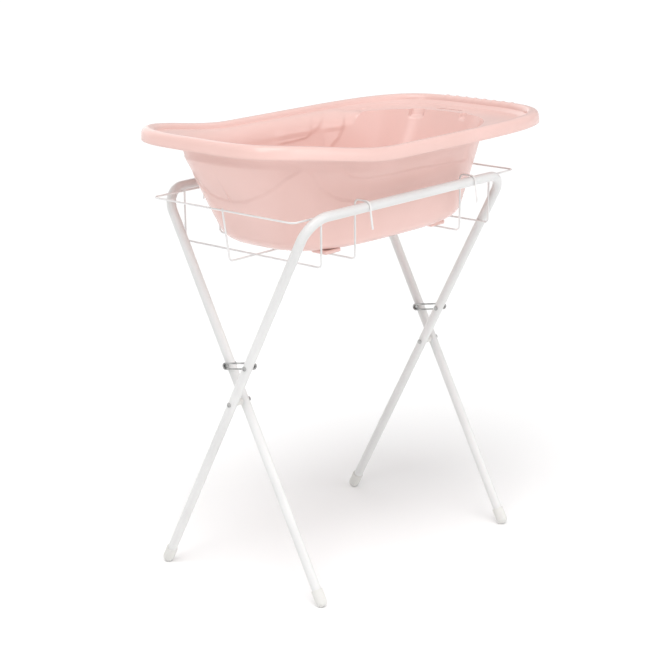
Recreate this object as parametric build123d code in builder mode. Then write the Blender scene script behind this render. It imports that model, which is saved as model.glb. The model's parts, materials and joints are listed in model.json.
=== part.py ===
"""Baby bath tub on a folding stand: two crossed tube frames, a hooked-on wire cradle and the tub.

X runs along the tub (head end at -X, foot end at +X), Y from front to back, Z up.  The origin is
on the floor under the middle of the tub.  Millimetres.
"""

from build123d import *
from math import asin, atan2, cos, degrees, pi, radians, sin, sqrt, tan
import os

# ---------------------------------------------------------------- driving dimensions
# stand: two equal U frames of round tube, crossed like scissors
stand_x = -39.0             # middle of the stand, as the tub sits a little towards the foot end
tube_r = 10.0
tube_wall = 1.2
leg_spacing = 613.0         # between the two legs of one U, centre to centre
leg_gap = 15.0              # between a front-frame leg and the back-frame leg beside it
bend_r = 50.0
bar_height = 810.0
pivot_height = 400.0
lean = 27.9                 # each leg from the vertical, degrees

# plastic foot caps
cap_wall = 2.0
cap_length = 26.0
cap_flat = 1.5              # worn off the round end, where it stands on the floor
cap_floor = 3.0             # plastic between the tube's end and the middle of the round end

# pivots
pivot_r = 3.0
pivot_head_r = 5.0
pivot_head = 2.6
pivot_nut_r = 5.0
pivot_nut = 4.0
spacer_r = 6.5

# limit links and their pins
front_pin_reach = 97.0      # from the pivot, along the front leg
back_pin_reach = 78.0       # from the pivot, along the back leg
link_wire_r = 1.8
link_half_height = 6.0      # from the link's axis to the wire's centre
pin_r = 3.0
pin_head_r = 5.0
pin_head = 2.0
washer_r = 5.5
washer = 1.0

# wire cradle
wire_r = 2.0
rim_wire_inside = 24.08     # from a bar to the rim wire beside it, centre to centre
cradle_head_x = -344.0      # rim wire's ends, from the middle of the stand
cradle_foot_x = 356.5
rim_wire_drop = 5.0         # rim wire below the bars, centre to centre
rim_wire_corner = 12.0
basket_depth = 108.0        # cross wires under the tub, below the bars, centre to centre
cross_corner = 9.0
cross_plain_head_x = -260.0          # from the middle of the stand
cross_plain_gap = 3.0                # at the foot end, from the front leg it passes
cross_hook_x = (-160.0, 175.0)
hook_drop = 42.0            # hook tip below the bar's centre
hook_splay = 5.7            # how far the tip stands away from the bar
long_wire_lean = 18.0       # how far the long wire's ends lean in at the bottom

# tub
tub_wall = 3.0
tub_seat = 9.0              # underside of the tub's floor, above the cross wires' centre
tub_half_length = 457.0     # over the lip of the rim
tub_half_width = 243.5
rim_power = 4.2             # squareness of the rim's outline: 2 is an ellipse
tub_depth = 213.0           # from there up to the rim, along the sides and the foot end
head_rise = 32.0            # how much higher the rim is at the head end
rise_from_x = -120.0
rise_to_x = -440.0
skirt_drop = 26.0
rim_width = 24.0            # rounded bead, from the lip to the edge of the inside
ledge_drop = 18.0           # from the rim down to the ledge round the inside
floor_x = (-290.0, 258.0)   # the body at the floor, and at the rim
floor_half_width = 160.0
floor_power = 3.1
brim_x = (-424.0, 361.0)
brim_half_width = 199.0
brim_power = 2.6
floor_corner = 26.0
pad_size = (46.0, 40.0)     # moulded feet under the tub, over the hooked cross wires
pad_y = 112.0

# clearances
running = 0.06              # pin in its hole, radial
apart = 0.3                 # between pieces that move past each other
weld = 0.05                 # between wires that are welded where they cross

os.makedirs("parts", exist_ok=True)

# ---------------------------------------------------------------- worked-out places
leg_offset = 2 * tube_r + leg_gap                 # between neighbouring legs, centre to centre
bar_y = (bar_height - pivot_height) * tan(radians(lean))
cradle_width = 2 * (bar_y - rim_wire_inside)
rim_wire_height = bar_height - rim_wire_drop
basket_floor = bar_height - basket_depth
foot_leg_x = (leg_spacing - leg_offset) / 2       # front frame, from the middle of the stand
cross_plain_x = (cross_plain_head_x, foot_leg_x - tube_r - wire_r - cross_plain_gap)
tub_floor = basket_floor + tub_seat
rim_height = tub_floor + tub_depth
cap_r = tube_r + cap_wall
cap_centre_z = cap_r - cap_flat
foot_reach = (pivot_height - cap_centre_z) / cos(radians(lean))
bar_reach = (bar_height - pivot_height) / cos(radians(lean))
tube_length = bar_reach + foot_reach - cap_floor

frame_middle_x = {"front": stand_x - leg_offset / 2, "back": stand_x + leg_offset / 2}
gap_x = {"left": stand_x - leg_spacing / 2, "right": stand_x + leg_spacing / 2}
lean_side = {"front": -1, "back": 1}              # where the frame's bar is


def save(builder, name):
    """Label a finished piece and write it under its own name."""
    builder.part.label = name
    export_step(builder.part, f"parts/{name}.step")


def on_leg(frame, reach):
    """The (y, z) place on a frame's leg, reach above the pivot along the leg."""
    y = lean_side[frame] * reach * sin(radians(lean))
    return y, pivot_height + reach * cos(radians(lean))


def across(x, place):
    """A plane facing +X at x, on the (y, z) place."""
    return Plane(origin=(x, place[0], place[1]), x_dir=(0, 1, 0), z_dir=(1, 0, 0))


def leg_plane(frame):
    """The plane of a U frame: its middle on the bar, local Y down the legs."""
    side = lean_side[frame]
    origin = (frame_middle_x[frame], side * bar_y, bar_height)
    normal = (0, cos(radians(lean)), -side * sin(radians(lean)))
    return Plane(origin=origin, x_dir=(1, 0, 0), z_dir=normal)


def bent_wire(line, radius):
    """Round wire bent along a finished line."""
    path = line.wires()[0]
    with BuildPart() as wire:
        with BuildSketch(Plane(origin=path @ 0, z_dir=path % 0)):
            Circle(radius)
        sweep(path=path)
    return wire


# ---------------------------------------------------------------- U frames
for frame in ("front", "back"):
    pin_reach = front_pin_reach if frame == "front" else back_pin_reach
    with BuildPart() as u_frame:
        with BuildLine(leg_plane(frame)) as centre_line:
            FilletPolyline(
                (-leg_spacing / 2, tube_length),
                (-leg_spacing / 2, 0),
                (leg_spacing / 2, 0),
                (leg_spacing / 2, tube_length),
                radius=bend_r,
            )
        path = centre_line.wires()[0]
        with BuildSketch(Plane(origin=path @ 0, z_dir=path % 0)):
            Circle(tube_r)
            Circle(tube_r - tube_wall, mode=Mode.SUBTRACT)
        sweep(path=path)
        # holes across the legs for the pivot bolt and the link's pin
        for reach, hole_r in ((0, pivot_r + running), (pin_reach, pin_r + running)):
            with BuildSketch(across(frame_middle_x[frame], on_leg(frame, reach))):
                Circle(hole_r)
            extrude(amount=leg_spacing / 2 + 2 * tube_r, both=True, mode=Mode.SUBTRACT)
    save(u_frame, f"{frame}_frame")

# ---------------------------------------------------------------- foot caps
for frame in ("front", "back"):
    # a front-frame leg ends at a back foot, and the other way round
    where = "back" if frame == "front" else "front"
    foot_y, foot_z = on_leg(frame, -foot_reach)
    up_leg = (0, lean_side[frame] * sin(radians(lean)), cos(radians(lean)))
    for side, leg in (("left", -1), ("right", 1)):
        foot_x = frame_middle_x[frame] + leg * leg_spacing / 2
        socket = Plane(origin=(foot_x, foot_y, foot_z), x_dir=(1, 0, 0), z_dir=up_leg)
        with BuildPart() as foot_cap:
            with BuildSketch(socket):
                Circle(cap_r)
            extrude(amount=cap_length)
            with Locations(socket.origin):
                Sphere(cap_r)
            with BuildSketch(socket.offset(cap_floor)):
                Circle(tube_r + running)
            extrude(amount=cap_length, mode=Mode.SUBTRACT)
            split(bisect_by=Plane.XY, keep=Keep.TOP)
        save(foot_cap, f"foot_cap_{where}_{side}")

# ---------------------------------------------------------------- pivots and limit links
front_pin = on_leg("front", front_pin_reach)
back_pin = on_leg("back", back_pin_reach)
pin_distance = sqrt((back_pin[0] - front_pin[0]) ** 2 + (back_pin[1] - front_pin[1]) ** 2)
link_tilt = degrees(atan2(back_pin[1] - front_pin[1], back_pin[0] - front_pin[0]))
# the round ends of the link lie just past the pins
end_inset = link_half_height - link_wire_r - pin_r - apart

for side in ("left", "right"):
    front_leg_x = gap_x[side] - leg_offset / 2
    back_leg_x = gap_x[side] + leg_offset / 2
    pivot = (0, pivot_height)
    outside = front_leg_x - tube_r - running      # against the front leg's outer side
    far_side = back_leg_x + tube_r + apart        # past the back leg

    # bolt through both legs, with a low domed head
    with BuildPart() as pivot_bolt:
        with BuildSketch(across(outside, pivot)):
            Circle(pivot_head_r)
        extrude(amount=-pivot_head)
        fillet(pivot_bolt.faces().sort_by(Axis.X)[0].edges(), pivot_head * 0.6)
        with BuildSketch(across(outside, pivot)):
            Circle(pivot_r)
        extrude(amount=far_side - outside + pivot_nut / 2)
    save(pivot_bolt, f"pivot_bolt_{side}")

    # cap nut, closed over the bolt's end
    with BuildPart() as pivot_nut_piece:
        with BuildSketch(across(far_side, pivot)):
            Circle(pivot_nut_r)
        extrude(amount=pivot_nut)
        fillet(pivot_nut_piece.faces().sort_by(Axis.X)[-1].edges(), pivot_nut * 0.4)
        with BuildSketch(across(far_side, pivot)):
            Circle(pivot_r + running)
        extrude(amount=pivot_nut / 2 + running, mode=Mode.SUBTRACT)
    save(pivot_nut_piece, f"pivot_nut_{side}")

    # plastic bush that keeps the legs apart
    with BuildPart() as pivot_spacer:
        with BuildSketch(across(front_leg_x + tube_r + apart, pivot)):
            Circle(spacer_r)
            Circle(pivot_r + running, mode=Mode.SUBTRACT)
        extrude(amount=leg_gap - apart)
    save(pivot_spacer, f"pivot_spacer_{side}")

    # long ring of wire in the gap between the legs
    link_plane = Plane(
        origin=(gap_x[side], *front_pin),
        x_dir=(0, cos(radians(link_tilt)), sin(radians(link_tilt))),
        z_dir=(1, 0, 0),
    )
    near = end_inset
    far = pin_distance - end_inset
    with BuildLine(link_plane) as ring:
        Line((near, link_half_height), (far, link_half_height))
        ThreePointArc(
            (far, link_half_height), (far + link_half_height, 0), (far, -link_half_height)
        )
        Line((far, -link_half_height), (near, -link_half_height))
        ThreePointArc(
            (near, -link_half_height), (near - link_half_height, 0), (near, link_half_height)
        )
    save(bent_wire(ring, link_wire_r), f"limit_link_{side}")

    # pin through the front leg that the link turns on
    ring_side = gap_x[side] + link_wire_r + apart
    with BuildPart() as link_pin:
        with BuildSketch(across(outside, front_pin)):
            Circle(pin_head_r)
        extrude(amount=-pin_head)
        fillet(link_pin.faces().sort_by(Axis.X)[0].edges(), pin_head * 0.6)
        with BuildSketch(across(outside, front_pin)):
            Circle(pin_r)
        extrude(amount=ring_side + washer - outside)
    save(link_pin, f"front_link_pin_{side}")

    # washer riveted on the end of that pin, which holds the link on
    with BuildPart() as link_washer:
        with BuildSketch(across(ring_side, front_pin)):
            Circle(washer_r)
            Circle(pin_r + running, mode=Mode.SUBTRACT)
        extrude(amount=washer)
    save(link_washer, f"link_washer_{side}")

    # pin through the back leg; its end stops just short of the link
    with BuildPart() as stop_pin:
        with BuildSketch(across(back_leg_x + tube_r + running, back_pin)):
            Circle(pin_head_r)
        extrude(amount=pin_head)
        fillet(stop_pin.faces().sort_by(Axis.X)[-1].edges(), pin_head * 0.6)
        with BuildSketch(across(back_leg_x + tube_r + running, back_pin)):
            Circle(pin_r)
        extrude(amount=ring_side - back_leg_x - tube_r - running)
        with BuildSketch(across(ring_side, back_pin)):
            Circle(pin_head_r)
        extrude(amount=pin_head)
    save(stop_pin, f"back_link_pin_{side}")

# ---------------------------------------------------------------- wire cradle
head_x = stand_x + cradle_head_x
foot_x = stand_x + cradle_foot_x
wire_step = 2 * wire_r + weld                     # between wires that cross and touch
drop_y = cradle_width / 2 - wire_step             # cross wires hang just inside the rim wire
hook_top = bar_height + tube_r + apart + wire_r   # wire's centre, over the bar
hook_turn = hook_top - bar_height                 # it bends round the bar


with BuildLine(Plane.XY.offset(rim_wire_height)) as rim_line:
    FilletPolyline(
        (head_x, -cradle_width / 2),
        (foot_x, -cradle_width / 2),
        (foot_x, cradle_width / 2),
        (head_x, cradle_width / 2),
        radius=rim_wire_corner,
        close=True,
    )
save(bent_wire(rim_line, wire_r), "cradle_rim_wire")

for name, x in zip(("head", "foot"), cross_plain_x):
    with BuildLine(across(stand_x + x, (0, 0))) as cross_line:
        FilletPolyline(
            (-drop_y, rim_wire_height + wire_r),
            (-drop_y, basket_floor),
            (drop_y, basket_floor),
            (drop_y, rim_wire_height + wire_r),
            radius=cross_corner,
        )
    save(bent_wire(cross_line, wire_r), f"cross_wire_{name}")

outer_y = bar_y + hook_turn
hook_half = [
    (outer_y + hook_splay, bar_height - hook_drop),
    (outer_y, bar_height - hook_turn / 2),
    (outer_y, hook_top),
    (drop_y, hook_top),
    (drop_y, basket_floor),
]
hook_turns = [hook_turn, hook_turn, cross_corner, cross_corner]
hook_mirrored = [(-y, z) for y, z in reversed(hook_half)]
for name, x in zip(("head", "foot"), cross_hook_x):
    with BuildLine(across(stand_x + x, (0, 0))) as hook_line:
        FilletPolyline(*hook_half, *hook_mirrored, radius=[*hook_turns, *reversed(hook_turns)])
    save(bent_wire(hook_line, wire_r), f"hook_wire_{name}")

long_floor = basket_floor - wire_step
with BuildLine(Plane.XZ) as long_line:
    FilletPolyline(
        (head_x + wire_step, rim_wire_height + wire_r),
        (head_x + wire_step + long_wire_lean, long_floor),
        (foot_x - wire_step - long_wire_lean, long_floor),
        (foot_x - wire_step, rim_wire_height + wire_r),
        radius=cross_corner,
    )
save(bent_wire(long_line, wire_r), "long_wire")

# ---------------------------------------------------------------- tub


def rounded_outline(ends, half_width, power, points=40):
    """Points of a rounded oblong between two X ends: |x/a|^power + |y/b|^power = 1."""
    middle = (ends[0] + ends[1]) / 2
    half_length = (ends[1] - ends[0]) / 2
    outline = []
    for step in range(points):
        angle = 2 * pi * (step + 0.5) / points
        c, s = cos(angle), sin(angle)
        # even steps round the outline: scale the direction until it meets the curve
        reach = (abs(c) ** power + abs(s) ** power) ** (-1 / power)
        outline.append((middle + half_length * reach * c, half_width * reach * s))
    return outline


def prism(outline, low, high):
    """A solid column over an outline."""
    with BuildPart() as column:
        with BuildSketch(Plane.XY.offset(low)):
            with BuildLine():
                Spline(*outline, periodic=True)
            make_face()
        extrude(amount=high - low)
    return column.part


def under_rim_line(drop, thickness):
    """A slab that follows the rim's wavy line, drop below it and thickness deep."""
    reach_x = tub_half_length + 40
    high = rim_height + head_rise - drop
    low = rim_height - drop
    with BuildPart() as slab:
        with BuildSketch(Plane.XZ):
            with BuildLine():
                for shift in (0, -thickness):
                    Line((-reach_x, high + shift), (rise_to_x, high + shift))
                    Spline(
                        (rise_to_x, high + shift),
                        (rise_from_x, low + shift),
                        tangents=((1, 0), (1, 0)),
                    )
                    Line((rise_from_x, low + shift), (reach_x, low + shift))
                Line((-reach_x, high), (-reach_x, high - thickness))
                Line((reach_x, low), (reach_x, low - thickness))
            make_face()
        extrude(amount=tub_half_width + 40, both=True)
    return slab.part


def tapered_body(inset):
    """The tub's body, narrower at the floor; inset 0 is its outside, the wall is its inside."""
    slope_top = rim_height + head_rise + 2 * tub_wall
    share = (slope_top - tub_floor) / (rim_height - tub_floor)
    mouth_x = [f + (b - f) * share for f, b in zip(floor_x, brim_x)]
    mouth_half_width = floor_half_width + (brim_half_width - floor_half_width) * share
    with BuildPart() as body:
        for z, ends, half_width, power in (
            (tub_floor + inset, floor_x, floor_half_width, floor_power),
            (slope_top + inset, mouth_x, mouth_half_width, brim_power),
        ):
            outline = rounded_outline((ends[0] + inset, ends[1] - inset), half_width - inset, power)
            with BuildSketch(Plane.XY.offset(z)):
                with BuildLine():
                    Spline(*outline, periodic=True)
                make_face()
        loft()
        fillet(body.faces().sort_by(Axis.Z)[0].edges(), floor_corner - inset)
    return body.part


lip = (-tub_half_length, tub_half_length)
deep = 120.0
low_z = rim_height - deep
high_z = rim_height + head_rise + deep


def rim_column(inset):
    """A column over the rim's outline, inset from its lip."""
    ends = (lip[0] + inset, lip[1] - inset)
    return prism(rounded_outline(ends, tub_half_width - inset, rim_power), low_z, high_z)


inner_edge = rim_column(rim_width)
bead_inside = rim_column(rim_width - tub_wall)
rim_block = rim_column(0) & under_rim_line(0, skirt_drop)
under_bead = (rim_column(tub_wall) - bead_inside) & under_rim_line(tub_wall, deep)
under_ledge = bead_inside & under_rim_line(ledge_drop + tub_wall, deep)
above_ledge = inner_edge & under_rim_line(-deep, deep + ledge_drop)
body_outside = tapered_body(0) - under_rim_line(-deep, deep + ledge_drop)
body_inside = tapered_body(tub_wall) - under_rim_line(-deep, deep + ledge_drop)

with BuildPart() as tub:
    add(rim_block - under_bead - under_ledge)
    add(body_outside)
    add(above_ledge, mode=Mode.SUBTRACT)
    add(body_inside, mode=Mode.SUBTRACT)
    # moulded feet, standing on the hooked cross wires
    pad_top = tub_floor + tub_wall / 2
    pad_bottom = basket_floor + wire_r + apart
    for x in cross_hook_x:
        for y in (-pad_y, pad_y):
            with BuildSketch(Plane.XY.offset(pad_bottom)):
                with Locations((stand_x + x, y)):
                    RectangleRounded(pad_size[0], pad_size[1], 8)
            extrude(amount=pad_top - pad_bottom)
save(tub, "tub")

# how far the frames close before the bars, side by side, would touch
touch = 2 * degrees(asin((tube_r + apart / 2) / bar_reach))
print("stand_fold range, degrees:", round(2 * lean - touch, 2))
print("bars at y", round(bar_y, 2), " pins apart", round(pin_distance, 2), " link tilt", round(link_tilt, 2))
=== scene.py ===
# %% [markdown]
# # A baby bath tub on its folding stand
# The stand and the wire cradle come finished from the CAD model: round tubes and wires are already
# the right shape, so here they only get their enamel, coating, plastic and zinc. The tub is one
# moulded shell with a rolled rim and embossed walls, so it is made again as a fine mesh.

# %% Load the frame
import json
from math import cos, exp, pi, radians, sin

import bmesh
import bpy
from mathutils import Matrix, Vector


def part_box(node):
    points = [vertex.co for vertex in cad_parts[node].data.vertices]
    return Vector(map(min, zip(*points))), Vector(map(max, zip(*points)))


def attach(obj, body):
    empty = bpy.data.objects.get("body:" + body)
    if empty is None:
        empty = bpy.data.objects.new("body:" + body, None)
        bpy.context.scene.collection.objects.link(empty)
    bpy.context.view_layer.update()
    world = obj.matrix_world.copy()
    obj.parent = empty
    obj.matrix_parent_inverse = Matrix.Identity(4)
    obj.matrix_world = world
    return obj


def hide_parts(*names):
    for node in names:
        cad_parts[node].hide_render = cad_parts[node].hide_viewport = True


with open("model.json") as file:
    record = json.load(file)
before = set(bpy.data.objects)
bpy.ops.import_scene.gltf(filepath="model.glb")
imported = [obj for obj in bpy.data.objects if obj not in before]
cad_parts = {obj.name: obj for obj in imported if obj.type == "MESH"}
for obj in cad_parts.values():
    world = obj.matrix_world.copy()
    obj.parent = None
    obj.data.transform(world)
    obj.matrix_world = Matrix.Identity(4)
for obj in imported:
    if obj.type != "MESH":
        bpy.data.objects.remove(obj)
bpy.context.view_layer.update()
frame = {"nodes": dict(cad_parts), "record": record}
bpy.ops.object.select_all(action="DESELECT")

# %% [markdown]
# ## The tub's measures
# The tub is a tapered body hung from a wide rim. Both outlines are rounded oblongs, a circle
# squared off by a power: 2 is an ellipse and larger powers have squarer corners. The overall
# size comes from the CAD node's own box, so the new mesh can't outgrow it.

# %% The tub's measures
inside_box = 0.0002         # how far the rim stays inside the CAD node's box
pad_gap = 0.0001            # the same for the undersides of the feet
tub_low, tub_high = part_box("tub")
rim_half_length = (tub_high[0] - tub_low[0]) / 2 - inside_box
rim_half_width = (tub_high[1] - tub_low[1]) / 2 - inside_box
rim_power = 4.2
head_rise = 0.032
head_slope = (-0.440, -0.120)     # the rim climbs between these places
rim_top = tub_high[2] - head_rise - inside_box
pad_bottom = tub_low[2] + pad_gap
pad_stand = 0.0066          # from the feet's undersides up to the floor
floor_z = pad_bottom + pad_stand
brim_z = 0.924              # height at which the brim outline below holds
wall = 0.003
corner_radius = 0.026
floor_ends, brim_ends = (-0.290, 0.258), (-0.424, 0.361)
floor_half, brim_half = 0.160, 0.199
floor_power, brim_power = 3.1, 2.6
bead_width = 0.024
bead_drop = 0.011           # from the crest down to the bead's inner foot
cove_drop = 0.052           # from the crest down to the top of the wall, along the cove
foot_shelf_drop = 0.018     # the same at the foot end, where there is a flat shelf
steps_round = 440
print("rim", round(2 * rim_half_length, 3), "by", round(2 * rim_half_width, 3), "m")


# %% [markdown]
# ## Helpers for smooth shapes
# Moulded plastic has no sharp starts: the rim climbs to the head end along an S, and every
# embossed step fades in. A smooth step does both.

# %% Smooth helpers and outlines
def ease(low, high, value):
    """0 below low, 1 above high, and a smooth S between them."""
    u = min(1.0, max(0.0, (value - low) / (high - low)))
    return u * u * (3 - 2 * u)


def mix(a, b, share):
    """a at share 0, b at share 1."""
    return a + (b - a) * share


def rim_z(x):
    """Height of the rim's crest: level, then a wave up to the head end."""
    return rim_top + head_rise * (1 - ease(*head_slope, x))


def oblong(angle, ends, half, power, inset):
    """A point of a rounded oblong between two ends, drawn in by the inset."""
    c, s = cos(angle), sin(angle)
    reach = (abs(c) ** power + abs(s) ** power) ** (-1 / power)
    middle = (ends[0] + ends[1]) / 2
    half_length = (ends[1] - ends[0]) / 2 - inset
    return middle + half_length * reach * c, (half - inset) * reach * s


def rim_outline(angle, inset):
    """A point of the rim, seen from above."""
    return oblong(angle, (-rim_half_length, rim_half_length), rim_half_width, rim_power, inset)


def body_outline(angle, z, inset):
    """A point of the tapered body at height z."""
    share = (z - floor_z) / (brim_z - floor_z)
    ends = [mix(f, b, share) for f, b in zip(floor_ends, brim_ends)]
    half = mix(floor_half, brim_half, share)
    return oblong(angle, ends, half, mix(floor_power, brim_power, share), inset)


print("rim at the head end", round(rim_z(-0.45), 3), "and at the foot end", round(rim_z(0.45), 3))

# %% [markdown]
# ## Embossed walls
# The walls carry long S-shaped steps a few millimetres high, which stiffen the thin
# plastic. Each is a curve of wall heights. Above the curve the wall stands in a little, and the
# step dies away upwards, so only its lower edge reads as a line. They are in the mesh, not in a
# bump map, so they also show in the silhouette.

# %% Embossed curves: (place along the wall, height)
inner_swoop = [(-0.030, 0.864), (0.028, 0.864), (0.067, 0.866), (0.108, 0.884),
               (0.132, 0.903), (0.165, 0.920)]
inner_riser = [(0.120, 0.826), (0.133, 0.837), (0.159, 0.855), (0.178, 0.879),
               (0.189, 0.901), (0.211, 0.922)]
outer_dip = [(-0.310, 0.901), (-0.303, 0.895), (-0.284, 0.874), (-0.267, 0.851), (-0.240, 0.832),
             (-0.213, 0.820), (-0.180, 0.813), (-0.140, 0.810)]
outer_sweep = [(-0.235, 0.890), (-0.219, 0.877), (-0.194, 0.863), (-0.161, 0.855),
               (-0.101, 0.853), (-0.036, 0.854), (0.039, 0.852), (0.125, 0.846), (0.198, 0.839)]
head_end_curve = [(0.0, 0.817), (0.042, 0.822), (0.087, 0.840), (0.113, 0.857),
                  (0.132, 0.876), (0.141, 0.882), (0.150, 0.890)]
emboss_depth = 0.0026
edge_half = 0.002           # half the height over which a step comes in
head_wall_end = -0.300      # beyond it the outer wall carries the head end's own curve
inner_sides, outer_sides = (0.06, 0.12), (0.08, 0.13)   # the steps fade in across the tub here


def curve_height(curve, place):
    """Height and slope of a curve at a place, or None past its ends."""
    for (a, za), (b, zb) in zip(curve, curve[1:]):
        if a <= place <= b:
            return mix(za, zb, (place - a) / (b - a)), (zb - za) / (b - a)
    return None


def embossed(curve, place, z, fade=0.03, reach=0.035):
    """How far the wall is set in at a place along it, 0 to 1."""
    found = curve_height(curve, place)
    if found is None:
        return 0.0
    height, slope = found
    off = (z - height) / (1 + slope * slope) ** 0.5
    ends = ease(curve[0][0], curve[0][0] + fade, place)
    ends *= 1 - ease(curve[-1][0] - fade, curve[-1][0], place)
    return ease(-edge_half, edge_half, off) * exp(-max(0.0, off) / reach) * ends


def inner_emboss(x, y, z):
    """How far the inner wall is set in, in metres."""
    amount = embossed(inner_swoop, x, z) + embossed(inner_riser, x, z, fade=0.012)
    return emboss_depth * amount * ease(*inner_sides, abs(y))


def outer_emboss(x, y, z):
    """How far the outer wall is set in, in metres."""
    amount = embossed(outer_dip, x, z, fade=0.02) + embossed(outer_sweep, x, z)
    amount *= ease(*outer_sides, abs(y))
    if x < head_wall_end:
        amount += embossed(head_end_curve, abs(y), z, fade=0.0001)
    return emboss_depth * min(1.0, amount)


print("embossed steps are", round(1000 * emboss_depth, 1), "mm deep")

# %% [markdown]
# ## Rings of the shell
# The shell is one closed surface. A ring starts on the inside floor, climbs the inner wall, goes
# over the ledge and the rolled bead, down the skirt, back under the rim and down the outside.
# Each ring is a function of the angle, so that the same steps fit all of them. Along the sides and
# the head end the wall turns outwards in a smooth cove; the foot end has a flat shelf instead.

# %% Places of the small features
shelf_start, shelf_full = 0.185, 0.235     # between them the cove becomes the shelf
height_passes = 5           # the wall's top depends on its own place, so it is found step by step
shelf_rise_from = 0.86      # share of the shelf's width after which it climbs to the bead
recess_from = 0.25          # recesses are cut beyond this place only
recess_edge = 0.004
recess_sizes = [((0.070, 0.100), 0.018, 0.010),    # places across the tub, height, depth
                ((-0.040, -0.022), 0.014, 0.009)]
slot_from, slot_side = 0.3, (-0.004, 0.063)
slot_shares = (0.29, 0.35)
slot_depth = 0.007
rib_from, rib_crest = 0.40, 0.004          # ribs stand on the bead's crest at the foot end
rib_count, rib_first, rib_pitch = 8, 0.088, 0.0258
rib_height, rib_top_half, rib_foot_half = 0.0014, 0.001, 0.0055
print("ribs on the foot-end rim:", rib_count)


# %% [markdown]
# ## Ring makers
# Each maker returns a function from the angle round the tub to a point. The same makers serve the
# inside and the outside; the inside ones stand in by the thickness of the wall.

# %% Ring makers
def foot_share(x):
    """1 at the foot end, where the ledge is a real shelf, and 0 elsewhere."""
    return ease(shelf_start, shelf_full, x)


def shelf_drop(x):
    """From the crest down to the top of the wall."""
    return mix(cove_drop, foot_shelf_drop, foot_share(x))


def floor_ring(inset, side):
    """A ring on the flat floor."""
    z = floor_z + (wall if side == "in" else 0)
    thick = wall if side == "in" else 0
    return lambda t: (*body_outline(t, z, inset + thick), z)


def corner_ring(turn, side):
    """A ring on the rounded corner between the floor and the wall."""
    thick = wall if side == "in" else 0
    radius = corner_radius - thick
    z = floor_z + thick + radius * (1 - cos(turn))
    return lambda t: (*body_outline(t, z, thick + radius * (1 - sin(turn))), z)


def wall_ring(share, side):
    """A ring on the wall: share 0 is above the corner, 1 is the top."""
    thick = wall if side == "in" else 0
    below = 0 if side == "in" else wall
    start = floor_z + corner_radius

    def place(t):
        z = start
        for _ in range(height_passes):
            x, y = body_outline(t, z, thick)
            z = mix(start, rim_z(x) - shelf_drop(x) - below, share)
        push = inner_emboss(x, y, z) if side == "in" else outer_emboss(x, y, z)
        if x > recess_from:
            push -= recesses(y, rim_z(x) - shelf_drop(x) - below - z)
        x, y = body_outline(t, z, thick + push)
        return x, y, z
    return place


def recess(y, depth, side, tall):
    """1 inside a recess between two places across the tub, down to its height, and 0 outside."""
    across = ease(side[0], side[0] + recess_edge, y) * (1 - ease(side[1] - recess_edge, side[1], y))
    return across * (1 - ease(tall - recess_edge, tall, depth))


def recesses(y, depth):
    """Two small recesses in the wall under the shelf's edge at the foot end."""
    return sum(deep * recess(y, depth, side, tall) for side, tall, deep in recess_sizes)


def ledge_ring(share, side):
    """A ring on the cove or shelf: share 0 is the top of the wall, 1 the foot of the bead."""
    top = wall_ring(1.0, side)
    inset = bead_width if side == "in" else bead_width - wall
    below = 0 if side == "in" else wall

    def place(t):
        x0, y0, z0 = top(t)
        x1, y1 = rim_outline(t, inset)
        turn = share * pi / 2
        outward = mix(1 - cos(turn), share, foot_share(x0))
        x, y = mix(x0, x1, outward), mix(y0, y1, outward)
        cove = mix(-cove_drop, -bead_drop, sin(turn))
        shelf = mix(-foot_shelf_drop, -bead_drop, ease(shelf_rise_from, 1.0, share))
        z = rim_z(x) + mix(cove, shelf, foot_share(x)) - below
        if side == "in":
            step = inner_emboss(x, y, z) * (1 - share)
            y, z = y - (step if y > 0 else -step), z + step
        in_slot = slot_shares[0] < share < slot_shares[1] and slot_side[0] < y < slot_side[1]
        if in_slot and x > slot_from:
            z -= slot_depth
        return x, y, z
    return place


def bead_ring(inset, drop):
    """A ring of the rolled bead, below the crest by the drop."""
    def place(t):
        x, y = rim_outline(t, inset)
        lift = 0.0
        if x > rib_from and drop < rib_crest:
            for rib in range(rib_count):
                off = abs(y - (rib_first - rib_pitch * rib))
                lift += rib_height * (1 - ease(rib_top_half, rib_foot_half, off))
        return x, y, rim_z(x) - drop + lift
    return place


print("shelf drop at the foot end", round(shelf_drop(rim_half_length), 3), "m")

# %% [markdown]
# ## The rings in order
# The bead's profile goes from its inner foot over the crest, down the skirt and back under the rim.
# The ledge has close rings on both sides of the slot, so that its edges are crisp.

# %% The rings in order
# Bead profile: (inset from the rim's outline, drop below its crest)
bead = [(0.0235, 0.0085), (0.0225, 0.0052), (0.0205, 0.0028), (0.0180, 0.0012), (0.0150, 0.0003),
        (0.0120, 0.0), (0.0090, 0.0004), (0.0062, 0.0016), (0.0040, 0.0034), (0.0023, 0.0062),
        (0.0011, 0.0100), (0.0004, 0.0150), (0.0, 0.0210), (0.0, 0.0252), (0.0006, 0.0259),
        (0.0018, 0.0259), (0.0025, 0.0250), (0.0030, 0.0200), (0.0034, 0.0130), (0.0048, 0.0080),
        (0.0080, 0.0046), (0.0120, 0.0034), (0.0160, 0.0046), (0.0190, 0.0085), (0.0205, 0.0120)]
floor_insets = [0.155, 0.130, 0.105, 0.080, 0.060, 0.045, 0.034]
corner_turns = [radians(15 * k) for k in range(7)]
wall_steps = 58
wall_shares = [k / wall_steps for k in range(1, wall_steps + 1)]
ledge_shares = [0.08, 0.16, 0.24, 0.284, 0.292, 0.348, 0.356, 0.42, 0.55, 0.70, 0.82, 0.90, 0.96, 1.0]

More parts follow.
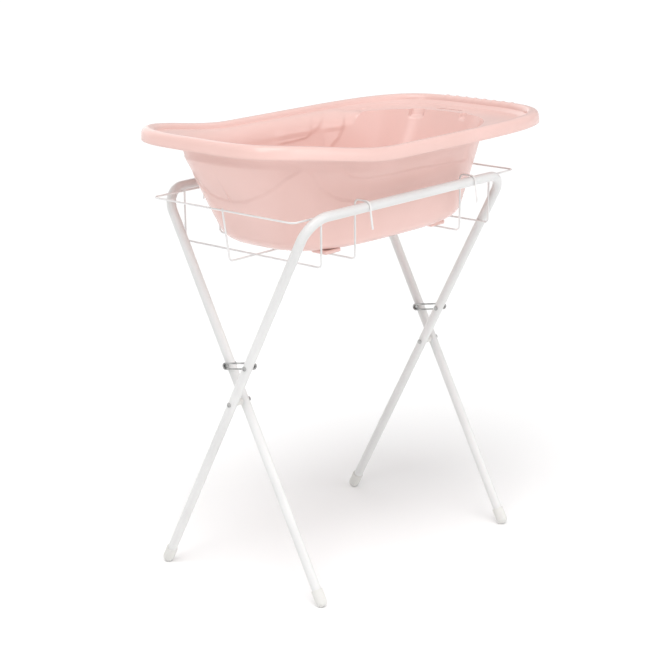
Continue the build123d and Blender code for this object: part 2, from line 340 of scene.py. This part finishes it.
rings = [floor_ring(i, "in") for i in floor_insets] + [corner_ring(a, "in") for a in corner_turns]
rings += [wall_ring(s, "in") for s in wall_shares] + [ledge_ring(s, "in") for s in ledge_shares]
rings += [bead_ring(i, d) for i, d in bead]
rings += [ledge_ring(s, "out") for s in reversed(ledge_shares)]
rings += [wall_ring(s, "out") for s in reversed(wall_shares)]
rings += [corner_ring(a, "out") for a in reversed(corner_turns)]
rings += [floor_ring(i, "out") for i in reversed(floor_insets)]
print("rings:", len(rings))


# %% [markdown]
# ## Extruding the shell
# A circle is extruded once for each ring, and the new ring, which stays selected, is moved to its
# places. A number on each vertex says which step round the outline it is, and extrude copies it.

# %% Extrude the shell
def settle(mesh, place):
    """Moves the selected ring to its places."""
    work = bmesh.from_edit_mesh(mesh)
    order = work.verts.layers.int["order"]
    for vert in work.verts:
        if vert.select:
            vert.co = place(2 * pi * vert[order] / steps_round)
    bmesh.update_edit_mesh(mesh)


bpy.ops.mesh.primitive_circle_add(vertices=steps_round, radius=0.1, fill_type="NOTHING")
tub = bpy.context.object
tub.name = "tub_shell"
bpy.ops.object.mode_set(mode="EDIT")
circle = bmesh.from_edit_mesh(tub.data)
order_layer = circle.verts.layers.int.new("order")
for number, vert in enumerate(circle.verts):
    vert[order_layer] = number
bmesh.update_edit_mesh(tub.data)
bpy.ops.mesh.select_all(action="SELECT")
settle(tub.data, rings[0])
for ring in rings[1:]:
    bpy.ops.mesh.extrude_region_move()
    settle(tub.data, ring)
bpy.ops.mesh.merge(type="CENTER")
bpy.ops.mesh.select_mode(type="VERT")
bpy.ops.mesh.select_non_manifold(extend=False)
bpy.ops.mesh.merge(type="CENTER")
bpy.ops.mesh.select_all(action="SELECT")
bpy.ops.mesh.normals_make_consistent(inside=False)
bpy.ops.object.mode_set(mode="OBJECT")
bpy.ops.object.shade_smooth_by_angle(angle=radians(50))
print("tub shell faces:", len(tub.data.polygons))

# %% [markdown]
# ## Moulded feet
# Four low pads under the floor stand above the hooked wires of the cradle. Each is a block with
# bevelled edges, and reaches up into the floor's thickness.

# %% Moulded feet
hooked = [sum(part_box(name)[end][0] for end in (0, 1)) / 2
          for name in ("hook_wire_head", "hook_wire_foot")]
pad_length, pad_width, pad_side = 0.046, 0.040, 0.112
pad_height = floor_z + wall / 2 - pad_bottom
for x in hooked:
    for y in (-pad_side, pad_side):
        bpy.ops.object.select_all(action="DESELECT")
        bpy.ops.mesh.primitive_cube_add(size=1, location=(x, y, pad_bottom + pad_height / 2),
                                        scale=(pad_length, pad_width, pad_height))
        pad = bpy.context.object
        bpy.ops.object.transform_apply(location=True, rotation=True, scale=True)
        bpy.ops.object.mode_set(mode="EDIT")
        bpy.ops.mesh.select_all(action="SELECT")
        bpy.ops.mesh.bevel(offset=0.003, segments=3, affect="EDGES")
        bpy.ops.object.mode_set(mode="OBJECT")
        tub.select_set(True)
        bpy.context.view_layer.objects.active = tub
        bpy.ops.object.join()
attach(tub, "tub")
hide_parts("tub")
print("pads under the tub:", 2 * len(hooked))


# %% [markdown]
# ## Finishes
# Each finish is a principled shader. Noise on object coordinates makes a slow drift of colour, a
# change of gloss and a fine relief: orange peel in enamel, a faint grain in moulded plastic.

# %% Material helper
def finish_of(name, colours, gloss, peel_size, peel_height, drift_size=6.0, metal=0.0, ior=1.47):
    """colours: two linear colours that drift into each other; gloss: lowest and highest roughness."""
    material = bpy.data.materials.new(name)
    material.use_nodes = True
    nodes, links = material.node_tree.nodes, material.node_tree.links
    shader = nodes["Principled BSDF"]
    shader.inputs["Metallic"].default_value = metal
    shader.inputs["IOR"].default_value = ior
    place = nodes.new("ShaderNodeTexCoord")

    def noise(scale, detail):
        node = nodes.new("ShaderNodeTexNoise")
        node.inputs["Scale"].default_value = scale
        node.inputs["Detail"].default_value = detail
        links.new(place.outputs["Object"], node.inputs["Vector"])
        return node

    drift = noise(drift_size, 3)
    ramp = nodes.new("ShaderNodeValToRGB")
    for stop, position, colour in zip(ramp.color_ramp.elements, (0.35, 0.68), colours):
        stop.position, stop.color = position, (*colour, 1)
    links.new(drift.outputs["Fac"], ramp.inputs["Fac"])
    links.new(ramp.outputs["Color"], shader.inputs["Base Color"])
    scuff = noise(34, 5)
    spread = nodes.new("ShaderNodeMapRange")
    spread.inputs["To Min"].default_value, spread.inputs["To Max"].default_value = gloss
    links.new(scuff.outputs["Fac"], spread.inputs["Value"])
    links.new(spread.outputs["Result"], shader.inputs["Roughness"])
    relief = nodes.new("ShaderNodeBump")
    relief.inputs["Strength"].default_value = 0.3
    relief.inputs["Distance"].default_value = peel_height
    links.new(noise(peel_size, 2).outputs["Fac"], relief.inputs["Height"])
    links.new(relief.outputs["Normal"], shader.inputs["Normal"])
    return material


finishes = {
    "pink_plastic": finish_of("moulded_pink_plastic", ((0.775, 0.525, 0.480), (0.800, 0.550, 0.508)),
                              (0.19, 0.27), 260, 0.00003),
    "white_enamel": finish_of("white_tube_enamel", ((0.70, 0.70, 0.695), (0.76, 0.76, 0.755)),
                              (0.27, 0.31), 900, 0.00002),
    "wire_coating": finish_of("white_wire_coating", ((0.74, 0.74, 0.735), (0.82, 0.82, 0.815)),
                              (0.36, 0.44), 1200, 0.00003),
    "white_plastic": finish_of("off_white_plastic", ((0.66, 0.655, 0.63), (0.74, 0.735, 0.71)),
                               (0.42, 0.58), 1100, 0.00016),
    "zinc_steel": finish_of("zinc_plated_steel", ((0.32, 0.32, 0.32), (0.56, 0.56, 0.55)),
                            (0.25, 0.45), 1300, 0.00012, drift_size=60, metal=1.0),
}
tub.data.materials.clear()
tub.data.materials.append(finishes["pink_plastic"])
for part in frame["record"]["subparts"]:
    node = frame["nodes"][part["node"]]
    for holder in node.material_slots:
        holder.material = finishes[part["material_slot"]]
print("finishes:", len(finishes))

# %% [markdown]
# ## Floor
# A pale floor runs far past the object on all sides. Its edge is out of sight from the camera, and
# shows as a horizon only from low views.

# %% Floor
bpy.ops.object.select_all(action="DESELECT")
floor_size = 400
bpy.ops.mesh.primitive_plane_add(size=floor_size, location=(0, 0, -0.0005))
floor = bpy.context.object
floor.name = "studio_floor"
floor.data.materials.append(
    finish_of("pale_floor", ((0.93, 0.93, 0.93), (0.95, 0.95, 0.95)), (0.75, 0.9), 60, 0.00005,
              drift_size=0.5))
print("floor across", floor_size, "m")


# %% [markdown]
# ## Light
# Large soft lights leave only faint shadows under the feet, and one panel gives the gloss a streak.
# The Standard view keeps the lit floor white. The world is dimmer, and looks grey where a low view
# shows it past the floor.

# %% Lights
def aimed(place):
    """The turn that points a lamp at the middle of the object."""
    return (Vector((0, 0, 0.6)) - Vector(place)).to_track_quat("-Z", "Y").to_euler()


def far_softbox(name, place, strength, width):
    """A lamp so far away that the floor is lit evenly up to the horizon."""
    bpy.ops.object.light_add(type="SUN", location=place)
    lamp = bpy.context.object
    lamp.name, lamp.rotation_euler = name, aimed(place)
    lamp.data.energy, lamp.data.angle = strength, radians(width)


def near_softbox(name, place, power, size):
    """A square panel that gives the gloss its streaks of light."""
    bpy.ops.object.light_add(type="AREA", location=place)
    lamp = bpy.context.object
    lamp.name, lamp.rotation_euler = name, aimed(place)
    lamp.data.energy, lamp.data.size = power, size


far_softbox("overhead_light", (-1.2, -0.8, 4.0), 1.50, 40)
far_softbox("front_light", (1.2, -4.0, 1.4), 1.05, 60)
far_softbox("back_light", (1.0, 4.0, 1.8), 0.70, 60)
near_softbox("streak_panel", (-2.6, -0.9, 2.4), 13, 0.9)
world = bpy.data.worlds.new("white_studio")
world.use_nodes = True
world.node_tree.nodes["Background"].inputs["Color"].default_value = (1, 1, 1, 1)
world.node_tree.nodes["Background"].inputs["Strength"].default_value = 0.56
bpy.context.scene.world = world
bpy.context.scene.view_settings.view_transform = "Standard"

# %% [markdown]
# ## Camera
# It stands beyond the head end, to the front side, and looks down on the tub. A shift of the lens
# moves the picture without tilting the view.

# %% Camera
back = Vector((-0.703, -0.640, 0.310)).normalized()
level_right = Vector((0, 0, 1)).cross(back).normalized()
level_up = back.cross(level_right)
roll = radians(-0.56)
right = level_right * cos(roll) + level_up * sin(roll)
up = back.cross(right)
bpy.ops.object.camera_add()
camera = bpy.context.object
camera_place = Matrix.Translation((-2.954, -2.585, 1.580))
camera.matrix_world = camera_place @ Matrix((right, up, back)).transposed().to_4x4()
camera.data.lens = 105.3
camera.data.shift_x, camera.data.shift_y = 0.0119, 0.134
bpy.context.scene.camera = camera
print("camera lens", round(camera.data.lens, 1), "mm")
